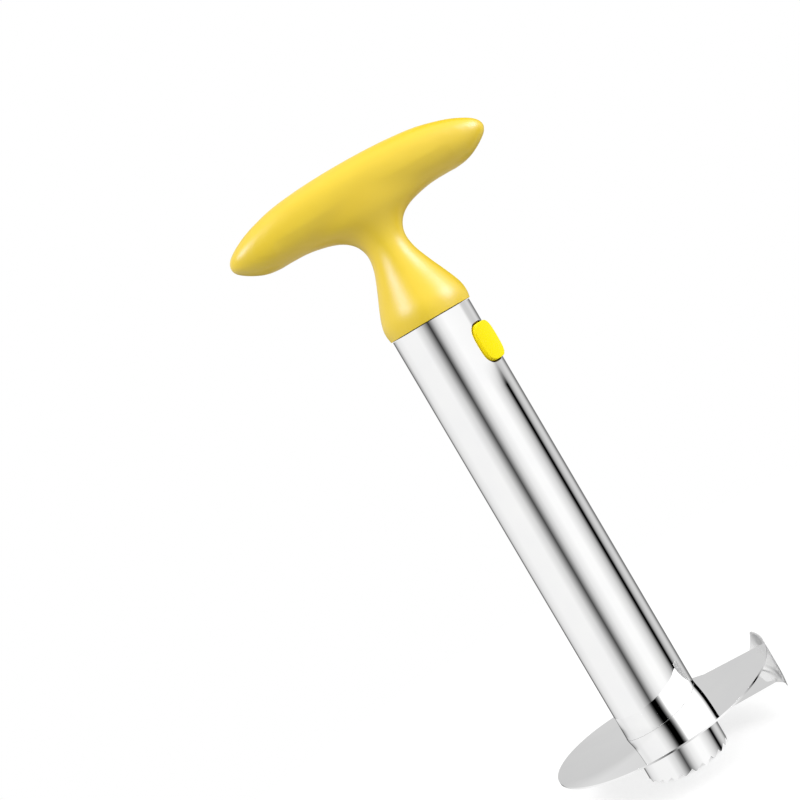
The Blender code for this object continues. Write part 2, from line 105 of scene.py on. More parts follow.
def roundEdges(bm, edges, width, segments):
    bmesh.ops.bevel(bm, geom=edges, offset=width, offset_type="OFFSET", affect="EDGES", segments=segments,
                    profile=0.5, material=-1, clamp_overlap=True)


def onlyVerts(geom):
    return [item for item in geom if isinstance(item, bmesh.types.BMVert)]


def turnAboutTube(bm, degrees):
    bmesh.ops.rotate(bm, verts=bm.verts, cent=(0, 0, 0),
                     matrix=Matrix.Rotation(math.radians(degrees), 3, "Z"))


def smoothOut(bm, verts, passes):
    for _ in range(passes):
        bmesh.ops.smooth_vert(bm, verts=verts, factor=0.5, use_axis_x=True, use_axis_y=True,
                              use_axis_z=True)


def smoothTable(rows, steps):
    # puts rows between the given ones on a smooth curve
    made = []
    last = len(rows) - 1
    for i in range(last):
        before, here = rows[max(i - 1, 0)], rows[i]
        there, after = rows[i + 1], rows[min(i + 2, last)]
        for s in range(steps):
            t = s / steps
            made.append([
                0.5 * (2 * b + (c - a) * t + (2 * a - 5 * b + 4 * c - d) * t ** 2
                       + (3 * b - a - 3 * c + d) * t ** 3)
                for a, b, c, d in zip(before, here, there, after)])
    made.append(list(rows[last]))
    return made


def drawOut(bm, loop, edges):
    # extrudes a row of edges and gives the new row in the same order
    grown = bmesh.ops.extrude_edge_only(bm, edges=edges)["geom"]
    fresh = set(onlyVerts(grown))
    partner = {}
    for vert in fresh:
        for edge in vert.link_edges:
            other = edge.other_vert(vert)
            if other not in fresh:
                partner[other] = vert
    rim = [e for e in grown if isinstance(e, bmesh.types.BMEdge) and all(v in fresh for v in e.verts)]
    return [partner[vert] for vert in loop], rim


def around(reach, turn, level):
    # a place round the tube's axis
    return (reach * math.cos(turn), reach * math.sin(turn), level)


def fuller(value, power):
    # takes the sine or cosine of a circle's point out towards the corner of its square
    return math.copysign(abs(value) ** (2 / power), value)


# material helpers

def startMaterial(name):
    material = bpy.data.materials.new(name)
    material.use_nodes = True
    tree = material.node_tree
    shader = tree.nodes["Principled BSDF"]
    place = tree.nodes.new("ShaderNodeTexCoord")
    return material, tree, shader, place


def addNoise(tree, place, scale, detail, stretch=(1, 1, 1)):
    mapping = tree.nodes.new("ShaderNodeMapping")
    mapping.inputs["Scale"].default_value = stretch
    noise = tree.nodes.new("ShaderNodeTexNoise")
    noise.inputs["Scale"].default_value = scale
    noise.inputs["Detail"].default_value = detail
    tree.links.new(place.outputs["Object"], mapping.inputs["Vector"])
    tree.links.new(mapping.outputs["Vector"], noise.inputs["Vector"])
    return noise.outputs["Fac"]


def addRange(tree, source, low, high, fromLow=0.3, fromHigh=0.7):
    spread = tree.nodes.new("ShaderNodeMapRange")
    spread.inputs["From Min"].default_value = fromLow
    spread.inputs["From Max"].default_value = fromHigh
    spread.inputs["To Min"].default_value = low
    spread.inputs["To Max"].default_value = high
    tree.links.new(source, spread.inputs["Value"])
    return spread.outputs["Result"]


def addRamp(tree, source, stops):
    ramp = tree.nodes.new("ShaderNodeValToRGB")
    elements = ramp.color_ramp.elements
    while len(elements) < len(stops):
        elements.new(1.0)
    for element, (position, colour) in zip(elements, stops):
        element.position = position
        element.color = (*colour, 1)
    tree.links.new(source, ramp.inputs["Fac"])
    return ramp.outputs["Color"]


def addMath(tree, operation, first, second):
    worked = tree.nodes.new("ShaderNodeMath")
    worked.operation = operation
    tree.links.new(first, worked.inputs[0])
    tree.links.new(second, worked.inputs[1])
    return worked.outputs[0]


def addMix(tree, share, first, second):
    # the first is either a colour or what another node gives; sockets 6 and 7 take colours
    mix = tree.nodes.new("ShaderNodeMix")
    mix.data_type = "RGBA"
    tree.links.new(share, mix.inputs[0])
    if isinstance(first, tuple):
        mix.inputs[6].default_value = (*first, 1)
    else:
        tree.links.new(first, mix.inputs[6])
    tree.links.new(second, mix.inputs[7])
    return mix.outputs[2]


def addLength(tree, source):
    length = tree.nodes.new("ShaderNodeVectorMath")
    length.operation = "LENGTH"
    tree.links.new(source, length.inputs[0])
    return length.outputs["Value"]


def addBump(tree, shader, height, distance, strength):
    bump = tree.nodes.new("ShaderNodeBump")
    bump.inputs["Distance"].default_value = distance
    bump.inputs["Strength"].default_value = strength
    tree.links.new(height, bump.inputs["Height"])
    tree.links.new(bump.outputs["Normal"], shader.inputs["Normal"])


print("materials")


def gripPlastic():
    looks = {"pale": (0.93, 0.67, 0.010), "deep": (0.90, 0.635, 0.006), "clouds": 60, "grain": 1500,
             "rough": (0.34, 0.42), "gloss": 1.0, "shine": (0.45, 0.62, 1.0), "dents": 0.02 * mm}
    material, tree, shader, place = startMaterial("gripPlastic")
    clouds = addNoise(tree, place, looks["clouds"], detail=5)
    colour = addRamp(tree, clouds, [(0.3, looks["deep"]), (0.7, looks["pale"])])
    tree.links.new(colour, shader.inputs["Base Color"])
    grain = addNoise(tree, place, looks["grain"], detail=3)
    tree.links.new(addRange(tree, grain, *looks["rough"]), shader.inputs["Roughness"])
    shader.inputs["Specular IOR Level"].default_value = looks["gloss"]
    shader.inputs["Specular Tint"].default_value = (*looks["shine"], 1)
    addBump(tree, shader, grain, looks["dents"], strength=0.5)
    return material


def buttonPlastic():
    # by distance from the tube's axis: painted shade down in the gap, then the wall with painted shade,
    # then the paler face
    looks = {"face": (1.0, 0.86, 0.003), "wall": (1.0, 0.77, 0.003), "gapShade": (0.03, 0.02, 0.0),
             "wallTop": 16.0 * mm, "faceEdge": 16.32 * mm, "gapFloor": 14.0 * mm, "gapTop": 14.85 * mm,
             "clouds": 120, "cloudShare": 0.1, "fine": 2600, "rough": (0.32, 0.36), "gloss": 0.1,
             "dents": 0.0005 * mm}
    material, tree, shader, place = startMaterial("buttonPlastic")
    flat = tree.nodes.new("ShaderNodeVectorMath")
    flat.operation = "MULTIPLY"
    flat.inputs[1].default_value = (1, 1, 0)
    tree.links.new(place.outputs["Object"], flat.inputs[0])
    reach = addLength(tree, flat.outputs["Vector"])
    # painted shade: the wall gets a darker copy of the face's yellow, standing in for its shading
    rise = addRange(tree, reach, 0.0, 1 - looks["cloudShare"], looks["wallTop"], looks["faceEdge"])
    clouds = addRange(tree, addNoise(tree, place, looks["clouds"], detail=1), 0.0, looks["cloudShare"])
    wallShadeToFace = addRamp(tree, addMath(tree, "ADD", rise, clouds), [(0.0, looks["wall"]), (1.0, looks["face"])])
    # painted shade: near black down in the gap round the button, where shade falls
    outsideGapShade = addRange(tree, reach, 0.0, 1.0, looks["gapFloor"], looks["gapTop"])
    tree.links.new(addMix(tree, outsideGapShade, looks["gapShade"], wallShadeToFace), shader.inputs["Base Color"])
    fine = addNoise(tree, place, looks["fine"], detail=2)
    tree.links.new(addRange(tree, fine, *looks["rough"]), shader.inputs["Roughness"])
    shader.inputs["Specular IOR Level"].default_value = looks["gloss"]
    addBump(tree, shader, fine, looks["dents"], strength=0.2)
    return material


def polishedSteel(name, stretch, rough, satin=None, shade=1.0):
    # mirror finish with faint polishing lines along the piece, duller past a given place along X
    looks = {"dark": (0.915, 0.915, 0.92), "pale": (0.945, 0.945, 0.94), "lines": 900, "clouds": 90,
             "dents": 0.0015 * mm}
    material, tree, shader, place = startMaterial(name)
    shader.inputs["Metallic"].default_value = 1.0
    lines = addNoise(tree, place, looks["lines"], detail=4, stretch=stretch)
    clouds = addNoise(tree, place, looks["clouds"], detail=4)
    dark, pale = [tuple(shade * part for part in looks[tint]) for tint in ("dark", "pale")]
    tree.links.new(addRamp(tree, clouds, [(0.25, dark), (0.75, pale)]), shader.inputs["Base Color"])
    finish = addRange(tree, lines, *rough)
    if satin:
        split = tree.nodes.new("ShaderNodeSeparateXYZ")
        tree.links.new(place.outputs["Object"], split.inputs["Vector"])
        dull = addRange(tree, split.outputs["X"], 0.0, satin["rough"], satin["from"], satin["to"])
        finish = addMath(tree, "ADD", finish, dull)
    tree.links.new(finish, shader.inputs["Roughness"])
    addBump(tree, shader, lines, looks["dents"], strength=0.5)
    return material


def springWire():
    looks = {"dark": (0.45, 0.45, 0.46), "pale": (0.62, 0.62, 0.62), "lines": 1800, "rough": (0.25, 0.4),
             "dents": 0.01 * mm}
    material, tree, shader, place = startMaterial("springWire")
    shader.inputs["Metallic"].default_value = 1.0
    lines = addNoise(tree, place, looks["lines"], detail=4)
    tree.links.new(addRamp(tree, lines, [(0.3, looks["dark"]), (0.7, looks["pale"])]),
                   shader.inputs["Base Color"])
    tree.links.new(addRange(tree, lines, *looks["rough"]), shader.inputs["Roughness"])
    addBump(tree, shader, lines, looks["dents"], strength=0.5)
    return material


gripYellow = gripPlastic()
buttonYellow = buttonPlastic()
tubeSteel = polishedSteel("tubeSteel", (1, 1, 0.02), (0.008, 0.017))
bladeSteel = polishedSteel("bladeSteel", (1, 0.15, 1), (0.008, 0.017),
                           {"rough": 0.32, "from": 37.0 * mm, "to": 40.0 * mm})
wireSteel = springWire()
weldSteel = polishedSteel("weldSteel", (1, 1, 1), (0.5, 0.6), shade=0.3)  # dull and dark from the heat


print("grip")
gripForm = {
    "baseLevel": 174.3 * mm, "baseRadius": 15.3 * mm, "neckRise": 40.6 * mm, "neckDepth": 9.4 * mm,
    "barLength": 99.8 * mm, "barHeight": 20.9 * mm, "barDepth": 23.0 * mm, "barDrop": 0.3 * mm, "turn": 8.0,
    "neckPower": 2.0, "barPower": 2.35, "points": 64, "tableSteps": 4, "voxel": 0.75 * mm, "smoothing": 14,
    # the crooks under the bar are smoothed on
    "crookLow": 203 * mm, "crookHigh": 222 * mm, "crookHalf": 34 * mm, "crookSmoothing": 40,
    "edge": 0.3 * mm, "edgeSteps": 3, "pocketRadius": 10.6 * mm, "pocketDepth": 11.6 * mm,
    "footDown": -0.99, "footCorners": 20, "sharpAngle": 50,
    # the neck's height, half width and half depth, as shares of neckRise, baseRadius and neckDepth
    "neck": ((-0.16, 0.970, 1.690), (0.0, 1.010, 1.690), (0.025, 1.034, 1.695), (0.060, 1.043, 1.690),
             (0.110, 1.040, 1.665), (0.165, 1.007, 1.595), (0.265, 0.905, 1.405), (0.434, 0.705, 1.095),
             (0.584, 0.545, 0.905), (0.683, 0.492, 0.820), (0.735, 0.494, 0.808), (0.805, 0.556, 0.840),
             (0.870, 0.680, 0.900), (0.922, 0.880, 0.965), (0.962, 1.180, 1.035), (1.0, 1.640, 1.105),
             (1.080, 1.700, 1.185), (1.2, 1.5, 1.210)),
    # place along the bar, its top, bottom and half depth, as shares of half barLength, barHeight
    # and half barDepth
    "bar": ((0.0, 1.0, 0.020, 1.0), (0.180, 0.993, 0.010, 0.995), (0.380, 0.965, 0.0, 0.970),
            (0.560, 0.915, 0.0, 0.920), (0.700, 0.835, 0.004, 0.860), (0.800, 0.758, 0.038, 0.800),
            (0.880, 0.670, 0.120, 0.710), (0.935, 0.595, 0.200, 0.600), (0.972, 0.525, 0.265, 0.450),
            (0.992, 0.460, 0.320, 0.280), (1.0, 0.425, 0.360, 0.120)),
}


def growAlong(bm, rings, power):
    # one capped form: a circle drawn out from ring to ring, each given as its centre and two half axes
    loop = bmesh.ops.create_circle(bm, cap_ends=True, radius=1, segments=gripForm["points"])["verts"]
    shape = [(fuller(vert.co.x, power), fuller(vert.co.y, power)) for vert in loop]
    edges = list({edge for vert in loop for edge in vert.link_edges})
    for number, (centre, wide, tall) in enumerate(rings):
        if number:
            loop, edges = drawOut(bm, loop, edges)
        for vert, (x, y) in zip(loop, shape):
            vert.co = centre + wide * x + tall * y
    bmesh.ops.edgeloop_fill(bm, edges=edges)
    bmesh.ops.recalc_face_normals(bm, faces=bm.faces)


def buildGrip():
    form = gripForm
    neckRings = [(Vector((0, 0, form["baseLevel"] + high * form["neckRise"])),
                  Vector((wide * form["baseRadius"], 0, 0)), Vector((0, deep * form["neckDepth"], 0)))
                 for high, wide, deep in smoothTable(form["neck"], form["tableSteps"])]
    barLevel = form["baseLevel"] + form["neckRise"] - form["barDrop"]
    half = smoothTable(form["bar"], form["tableSteps"])
    barRings = []
    for side, rows in ((-1, half[::-1]), (1, half[1:])):
        for along, high, low, deep in rows:
            middle = barLevel + form["barHeight"] * (high + low) / 2
            barRings.append((Vector((side * along * form["barLength"] / 2, 0, middle)),
                             Vector((0, deep * form["barDepth"] / 2, 0)),
                             Vector((0, 0, form["barHeight"] * (high - low) / 2))))
    bm = bmesh.new()
    growAlong(bm, neckRings, form["neckPower"])
    growAlong(bm, barRings, form["barPower"])
    grip = newPiece("grip", bm, gripYellow, "corer", ("handle_grip",))
    remesh = grip.modifiers.new("blendForms", "REMESH")
    remesh.mode = "VOXEL"
    remesh.voxel_size = form["voxel"]
    remesh.adaptivity = 0
    bakeModifiers(grip)
    bm = bmesh.new()
    bm.from_mesh(grip.data)
    smoothOut(bm, bm.verts, form["smoothing"])
    crook = [vert for vert in bm.verts
             if form["crookLow"] < vert.co.z < form["crookHigh"] and abs(vert.co.x) < form["crookHalf"]]
    smoothOut(bm, crook, form["crookSmoothing"])
    # flat foot with a softened rim and the pocket that takes the plug's key
    cut = bmesh.ops.bisect_plane(bm, geom=bm.verts[:] + bm.edges[:] + bm.faces[:], dist=hair,
                                 plane_co=(0, 0, form["baseLevel"]), plane_no=(0, 0, 1), clear_inner=True)
    rim = [item for item in cut["geom_cut"] if isinstance(item, bmesh.types.BMEdge)]
    bmesh.ops.edgeloop_fill(bm, edges=rim)
    bmesh.ops.recalc_face_normals(bm, faces=bm.faces)
    roundEdges(bm, rim, form["edge"], form["edgeSteps"])
    foot = [face for face in bm.faces
            if face.normal.z < form["footDown"] and len(face.verts) > form["footCorners"]]
    bmesh.ops.inset_region(bm, faces=foot, thickness=form["baseRadius"] - form["pocketRadius"],
                           use_even_offset=True)
    pushed = bmesh.ops.extrude_face_region(bm, geom=foot)["geom"]
    bmesh.ops.delete(bm, geom=foot, context="FACES")
    bmesh.ops.translate(bm, verts=onlyVerts(pushed), vec=(0, 0, form["pocketDepth"]))
    bmesh.ops.recalc_face_normals(bm, faces=bm.faces)
    turnAboutTube(bm, form["turn"])
    bm.to_mesh(grip.data)
    bm.free()
    grip.data.shade_smooth()
    grip.data.set_sharp_from_angle(angle=math.radians(form["sharpAngle"]))


buildGrip()


print("tube")
tubeForm = {
    "radius": 15.0 * mm, "wall": 0.8 * mm, "length": 174.0 * mm, "teeth": 24, "toothHeight": 1.3 * mm,
    "land": 0.5 * mm, "rake": 0.80, "rakePoints": 6, "edge": 0.12 * mm, "edgeSteps": 2, "edgeAngle": 35,
    "windowWidth": 10.9 * mm, "windowLength": 15.2 * mm, "windowLevel": 158.5 * mm, "windowTurn": -36.8,
    "windowAside": 1.7 * mm, "windowPower": 3.2, "windowPoints": 96, "cutterHalf": 20 * mm,
    "wallShare": 0.995,
}


def ovalPoint(angle, width, length, power):
    # a point on an oval, which has fuller corners the higher its power is
    return fuller(math.cos(angle), power) * width / 2, fuller(math.sin(angle), power) * length / 2


def roundShade(tube):
    # the polished walls shade as a true cylinder
    mesh = tube.data
    mesh.shade_smooth()
    normals = [Vector(corner.vector) for corner in mesh.corner_normals]
    for face in mesh.polygons:
        middle = Vector((face.center.x, face.center.y, 0))
        out = face.normal.dot(middle.normalized())
        if abs(out) < tubeForm["wallShare"]:
            continue
        for corner in face.loop_indices:
            place = mesh.vertices[mesh.loops[corner].vertex_index].co
            normals[corner] = Vector((place.x, place.y, 0)).normalized() * math.copysign(1, out)
    mesh.normals_split_custom_set(normals)


def buildTube():
    form = tubeForm
    # angles of one tooth, as shares of its pitch, with the height of the rim there
    pitch = 2 * math.pi / form["teeth"]
    land = form["land"] / form["radius"] / pitch
    gullet = land + (1 - land) * form["rake"]
    profile = [(0.0, 0.0)]
    for step in range(form["rakePoints"] + 1):
        share = step / form["rakePoints"]
        profile.append((land + (gullet - land) * share, share))
    profile.append(((gullet + 1) / 2, 0.5))
    bm = bmesh.new()
    made = bmesh.ops.create_circle(bm, radius=form["radius"], segments=form["teeth"] * len(profile))
    rim = sorted(made["verts"], key=lambda v: math.atan2(v.co.y, v.co.x) % (2 * math.pi))
    for index, vert in enumerate(rim):
        tooth, place = divmod(index, len(profile))
        share, high = profile[place]
        vert.co = around(form["radius"], (tooth + share) * pitch, high * form["toothHeight"])
    grown = bmesh.ops.extrude_edge_only(bm, edges=bm.edges[:])["geom"]
    for vert in onlyVerts(grown):
        vert.co.z = form["length"]
    bmesh.ops.recalc_face_normals(bm, faces=bm.faces)
    if sum(face.normal.dot(face.calc_center_median() * Vector((1, 1, 0))) for face in bm.faces) < 0:
        bmesh.ops.reverse_faces(bm, faces=bm.faces)
    tube = newPiece("tube", bm, tubeSteel, "corer", ("corer_tube",))
    wall = tube.modifiers.new("wall", "SOLIDIFY")
    wall.thickness = form["wall"]
    wall.offset = -1
    bakeModifiers(tube)
    # both button windows are cut by one bar
    bm = bmesh.new()
    ring = bmesh.ops.create_circle(bm, cap_ends=True, radius=1, segments=form["windowPoints"])["verts"]
    for vert in ring:
        across, along = ovalPoint(math.atan2(vert.co.y, vert.co.x), form["windowWidth"],
                                  form["windowLength"], form["windowPower"])
        vert.co = (-form["cutterHalf"], across, along)
    grown = bmesh.ops.extrude_face_region(bm, geom=bm.faces[:])["geom"]
    bmesh.ops.translate(bm, verts=onlyVerts(grown), vec=(2 * form["cutterHalf"], 0, 0))
    bmesh.ops.recalc_face_normals(bm, faces=bm.faces)
    bmesh.ops.translate(bm, verts=bm.verts, vec=(0, form["windowAside"], form["windowLevel"]))
    turnAboutTube(bm, form["windowTurn"])
    bar = newPiece("windowBar", bm, tubeSteel)
    windows = tube.modifiers.new("windows", "BOOLEAN")
    windows.operation = "DIFFERENCE"
    windows.solver = "EXACT"
    windows.object = bar
    addBevel(tube, form["edge"], form["edgeAngle"], form["edgeSteps"])
    bakeModifiers(tube)
    bpy.data.objects.remove(bar)
    roundShade(tube)


buildTube()


print("blade")
bladeForm = {
    "inner": 15.03 * mm, "radius": 42.28 * mm, "sheet": 0.6 * mm, "pitch": 14.9 * mm,
    "leadLevel": 8.3 * mm, "leadTurn": -0.5, "turn": 353.9, "steps": 202, "rings": 14,
    "rimSlack": 0.01 * mm, "heelSteps": 20, "heelSlack": 0.3, "toeSteps": 8, "toeAngle": 14.0,
    "earRows": 8, "earTopAhead": 4.0, "earTopBack": 13.5, "earTop": 24.15 * mm,
    "toeLift": 0.5 * mm, "toePower": 1.6, "bend": 3.2 * mm, "bendSteps": 7, "bendRoom": 3.3 * mm,
    "grindWidth": 1.3 * mm, "grindShare": 0.3, "softEdge": 0.08 * mm, "softSteps": 2, "softAngle": 50,
}


def buildBlade():
    form = bladeForm
    step = math.radians(form["turn"] / form["steps"])
    rise = form["pitch"] * form["turn"] / 360 / form["steps"]
    under = form["leadLevel"] - form["sheet"]
    # the sheet's underside: one spoke turned about the tube and lifted on the way
    bm = bmesh.new()
    plain = form["radius"] - form["bendRoom"] - form["inner"]
    reaches = [form["inner"] + plain * (ring / (form["rings"] - 1)) for ring in range(form["rings"])]
    line = [bm.verts.new((reach, 0, under)) for reach in reaches + [form["radius"]]]
    edges = [bm.edges.new(pair) for pair in zip(line, line[1:])]
    bmesh.ops.spin(bm, geom=line + edges, cent=(0, 0, 0), axis=(0, 0, 1), dvec=(0, 0, rise),
                   angle=math.radians(form["turn"]), steps=form["steps"], use_merge=False,
                   use_normal_flip=False, use_duplicate=False)
    bmesh.ops.remove_doubles(bm, verts=bm.verts, dist=hair)

    # the ear: the rim's first edges drawn up, its rear sloping
    outer = form["radius"] - form["rimSlack"]
    heel = under + (form["heelSteps"] + form["heelSlack"]) * rise
    fold = [e for e in bm.edges if e.is_boundary
            and all(math.hypot(v.co.x, v.co.y) > outer and v.co.z < heel for v in e.verts)]
    line = sorted({v for e in fold for v in e.verts}, key=lambda v: v.co.z)
    feet = [v.co.copy() for v in line]
    edges = fold
    firstRow = form["bendRoom"] / (form["earTop"] - under - form["heelSteps"] * rise)
    for row in range(form["earRows"]):
        line, edges = drawOut(bm, line, edges)
        share = firstRow + (1 - firstRow) * row / (form["earRows"] - 1)
        for column, (vert, foot) in enumerate(zip(line, feet)):
            low = column * step
            high = math.radians(form["earTopBack"]) * column / form["heelSteps"]
            vert.co = around(form["radius"], low + (high - low) * share,
                             foot.z + (form["earTop"] - foot.z) * share)
    roundEdges(bm, fold, form["bend"], form["bendSteps"])

    # the toe: the folded front edge drawn forward, its foot narrowing to a point
    start = [v for v in bm.verts if abs(v.co.y) < hair and v.is_boundary and v.co.x > 0]
    front = [v for v in start if v.co.x > form["radius"] - form["bendRoom"] - hair]
    front.sort(key=lambda v: (v.co.x - form["radius"]) + (v.co.z - under))
    edges = [e for e in bm.edges if e.is_boundary and all(v in front for v in e.verts)]
    lead = [v for v in start if v not in front]
    shape = [(form["radius"] - v.co.x, (v.co.z - under) / (form["earTop"] - under)) for v in front]
    keen = lead + [front[0]]
    for column in range(1, form["toeSteps"] + 1):
        front, edges = drawOut(bm, front, edges)
        ahead = column / form["toeSteps"]
        for vert, (inward, high) in zip(front, shape):
            turn = -math.radians(form["toeAngle"] + (form["earTopAhead"] - form["toeAngle"]) * high) * ahead
            lift = form["toeLift"] * ahead * (1 - high)
            vert.co = around(form["radius"] - inward * (1 - ahead) ** form["toePower"], turn,
                             under + lift + high * (form["earTop"] - under))
        keen.append(front[0])
    keen += front
    keenPlaces = [v.co.copy() for v in keen]
    bmesh.ops.recalc_face_normals(bm, faces=bm.faces)
    if sum(face.normal.z * face.calc_area() for face in bm.faces) < 0:
        bmesh.ops.reverse_faces(bm, faces=bm.faces)
    # thinner towards the ground edges
    near = [min((v.co - place).length for place in keenPlaces) / form["grindWidth"] for v in bm.verts]
    turnAboutTube(bm, form["leadTurn"])
    blade = newPiece("spiralBlade", bm, bladeSteel, "corer", ("spiral_blade",))
    thick = blade.vertex_groups.new(name="thick")
    for index, share in enumerate(near):
        thick.add([index], min(share, 1.0), "REPLACE")
    wall = blade.modifiers.new("sheet", "SOLIDIFY")
    wall.thickness = form["sheet"]
    wall.offset = 1
    wall.vertex_group = "thick"
    wall.thickness_vertex_group = form["grindShare"]
    bakeModifiers(blade)
    addBevel(blade, form["softEdge"], form["softAngle"], form["softSteps"])


seamForm = {
    "radius": 0.04 * mm, "points": 12, "steps": 720, "ripple": 0.006 * mm, "endShare": 0.3, "taper": 30,
}


def buildSeam():
    # fine rippled weld along the corner of tube and sheet, thinner at its ends
    form, path = seamForm, bladeForm
    rise = path["pitch"] * path["turn"] / 360
    middle = Vector((path["inner"], 0, path["leadLevel"]))
    bm = bmesh.new()
    loop = bmesh.ops.create_circle(bm, radius=form["radius"], segments=form["points"],
                                   matrix=Matrix.Rotation(math.radians(90), 4, "X"))["verts"]
    bmesh.ops.translate(bm, verts=loop, vec=middle)
    edges = bm.edges[:]
    shape = [v.co.copy() for v in loop]
    bmesh.ops.edgeloop_fill(bm, edges=edges)
    for number in range(1, form["steps"] + 1):
        loop, edges = drawOut(bm, loop, edges)
        share = number / form["steps"]
        swell = 1 + form["ripple"] / form["radius"] * math.sin(number * math.pi / 2)
        swell *= form["endShare"] + (1 - form["endShare"]) * min(1, form["taper"] * share,
                                                                 form["taper"] * (1 - share))
        turn = Matrix.Rotation(math.radians(path["turn"] * share), 3, "Z")
        for vert, point in zip(loop, shape):
            vert.co = turn @ (middle + (point - middle) * swell) + Vector((0, 0, rise * share))
    bmesh.ops.edgeloop_fill(bm, edges=edges)
    bmesh.ops.recalc_face_normals(bm, faces=bm.faces)
    turnAboutTube(bm, path["leadTurn"])
    newPiece("weldSeam", bm, weldSteel, "corer", ("weld_bead",))


buildBlade()
buildSeam()


print("buttons")
buttonForm = {
    "width": 10.5 * mm, "length": 13.9 * mm, "level": 158.5 * mm, "turn": -36.8, "aside": 1.7 * mm,
    "power": 3.2, "face": 16.4 * mm, "faceCurve": 24 * mm, "faceRings": (0.9, 0.75, 0.55, 0.35, 0.15),
    "flangeWidth": 14.2 * mm, "flangeLength": 16.7 * mm, "flangeFront": 11.8 * mm, "flangeBack": 7.6 * mm,
    "spigotRadius": 2.2 * mm, "spigotEnd": 4.2 * mm, "spigotPower": 2, "points": 96,
    "edge": 0.28 * mm, "edgeSteps": 5, "sharpAngle": 40,
}


def buildButton(name, node, body, side):
    form = buttonForm
    aside = side * form["aside"]
    bm = bmesh.new()
    ring = bmesh.ops.create_circle(bm, radius=1, segments=form["points"])["verts"]
    angles = [math.atan2(vert.co.y, vert.co.x) for vert in ring]
    edges = bm.edges[:]

    def place(verts, width, length, reach, curve, power=form["power"]):
        for vert, angle in zip(verts, angles):
            across, along = ovalPoint(angle, width, length, power)
            if curve == "face":
                out = reach - form["faceCurve"] + math.sqrt(form["faceCurve"] ** 2 - across ** 2)
            elif curve == "tube":
                out = math.sqrt(reach ** 2 - (across + aside) ** 2)
            else:
                out = reach
            vert.co = (out, across, along)

    # from the spigot's end out to the face that the thumb presses
    spigot = 2 * form["spigotRadius"]
    place(ring, spigot, spigot, form["spigotEnd"], "flat", form["spigotPower"])
    bmesh.ops.edgeloop_fill(bm, edges=edges)
    stations = [
        (spigot, spigot, form["flangeBack"], "flat", form["spigotPower"]),
        (form["flangeWidth"], form["flangeLength"], form["flangeBack"], "flat"),
        (form["flangeWidth"], form["flangeLength"], form["flangeFront"], "tube"),
        (form["width"], form["length"], form["flangeFront"], "tube"),
        (form["width"], form["length"], form["face"], "face"),
    ]
    for station in stations:
        ring, edges = drawOut(bm, ring, edges)
        place(ring, *station)
    faceRim = edges
    for share in form["faceRings"]:
        ring, edges = drawOut(bm, ring, edges)
        place(ring, form["width"] * share, form["length"] * share, form["face"], "face")
    bmesh.ops.edgeloop_fill(bm, edges=edges)
    bmesh.ops.recalc_face_normals(bm, faces=bm.faces)
    roundEdges(bm, faceRim, form["edge"], form["edgeSteps"])
    bmesh.ops.translate(bm, verts=bm.verts, vec=(0, aside, form["level"]))
    turnAboutTube(bm, form["turn"] + (180 if side < 0 else 0))
    button = newPiece(name, bm, buttonYellow, body, (node,))
    button.data.set_sharp_from_angle(angle=math.radians(form["sharpAngle"]))


buildButton("rightButton", "button_right", "right_button", 1)
buildButton("leftButton", "button_left", "left_button", -1)


print("inner pieces")
for name, finish in (("handle_plug", gripYellow), ("plug_cap", gripYellow), ("plug_screw", wireSteel)):
    node = nodes[name]
    node.data.materials.clear()
    node.data.materials.append(finish)

springForm = {
    "radius": 3.3 * mm, "wire": 0.35 * mm, "half": 6.95 * mm, "turns": 3, "turnPoints": 28, "points": 10,
    "level": 158.3 * mm, "turn": -36.8, "aside": 1.4 * mm, "stroke": 2.8 * mm,
}


def buildSpring(name, side):
    # one half of the coil between the buttons
    form = springForm
    bm = bmesh.new()
    loop = bmesh.ops.create_circle(bm, radius=form["wire"], segments=form["points"])["verts"]
    shape = [(vert.co.x, form["radius"] + vert.co.y) for vert in loop]
    edges = bm.edges[:]
    bmesh.ops.edgeloop_fill(bm, edges=edges)
    steps = form["turns"] * form["turnPoints"]
    for step in range(steps + 1):
        if step:
            loop, edges = drawOut(bm, loop, edges)
        turn = side * 2 * math.pi * step / form["turnPoints"]
        middle = side * form["half"] * step / steps
        for vert, (along, reach) in zip(loop, shape):
            vert.co = (middle + along, reach * math.cos(turn), reach * math.sin(turn))
    bmesh.ops.edgeloop_fill(bm, edges=edges)
    bmesh.ops.recalc_face_normals(bm, faces=bm.faces)
    place = (Matrix.Rotation(math.radians(form["turn"]), 4, "Z")
             @ Matrix.Translation((0, form["aside"], form["level"])))
    bmesh.ops.transform(bm, matrix=place, verts=bm.verts)
    spring = newPiece(name, bm, wireSteel, "corer", ("button_spring",))
    along = place.to_3x3() @ Vector((side, 0, 0))
    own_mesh(spring)


buildSpring("springRight", 1)
buildSpring("springLeft", -1)


